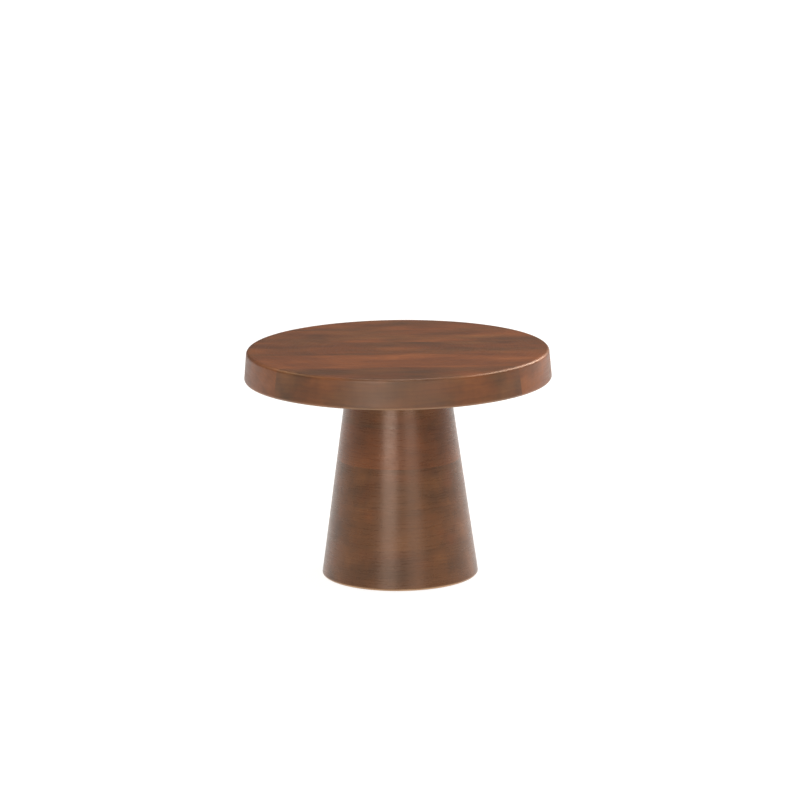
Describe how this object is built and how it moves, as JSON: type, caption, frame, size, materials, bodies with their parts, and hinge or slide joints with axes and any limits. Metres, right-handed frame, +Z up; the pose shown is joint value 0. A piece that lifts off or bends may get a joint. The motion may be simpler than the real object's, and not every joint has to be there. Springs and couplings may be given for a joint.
{
  "type": "cake stand",
  "caption": "Round flat-topped wooden cake stand: a thick turned plate on a solid tapered pedestal, held by a hidden bolt from a felt-covered base.",
  "frame": {"origin": "on the table, at the centre of the felt pad's underside", "axes": "+Z up along the stand's axis of symmetry; the grain of every board runs along X"},
  "size_m": [0.2536, 0.2536, 0.191],
  "materials": {
    "plate_wood": "satin dark brown stain",
    "pedestal_wood": "satin dark brown stain",
    "dowel_wood": "plain beech",
    "bolt_steel": "zinc-plated",
    "insert_metal": "zinc alloy",
    "felt": "pressed felt"
  },
  "bodies": {
    "root": {"plate_board_1_front": "plate_wood", "plate_board_2_front_middle": "plate_wood", "plate_board_3_centre": "plate_wood", "plate_board_4_back_middle": "plate_wood", "plate_board_5_back": "plate_wood", "pedestal_layer_1_base": "pedestal_wood", "pedestal_layer_2_lower": "pedestal_wood", "pedestal_layer_3_middle": "pedestal_wood", "pedestal_layer_4_upper": "pedestal_wood", "pedestal_layer_5_neck": "pedestal_wood", "locating_dowel_left": "dowel_wood", "locating_dowel_right": "dowel_wood", "plate_bolt": "bolt_steel", "flat_washer": "bolt_steel", "lock_washer": "bolt_steel", "threaded_insert": "insert_metal", "base_felt_pad": "felt"}
  },
  "joints": []
}
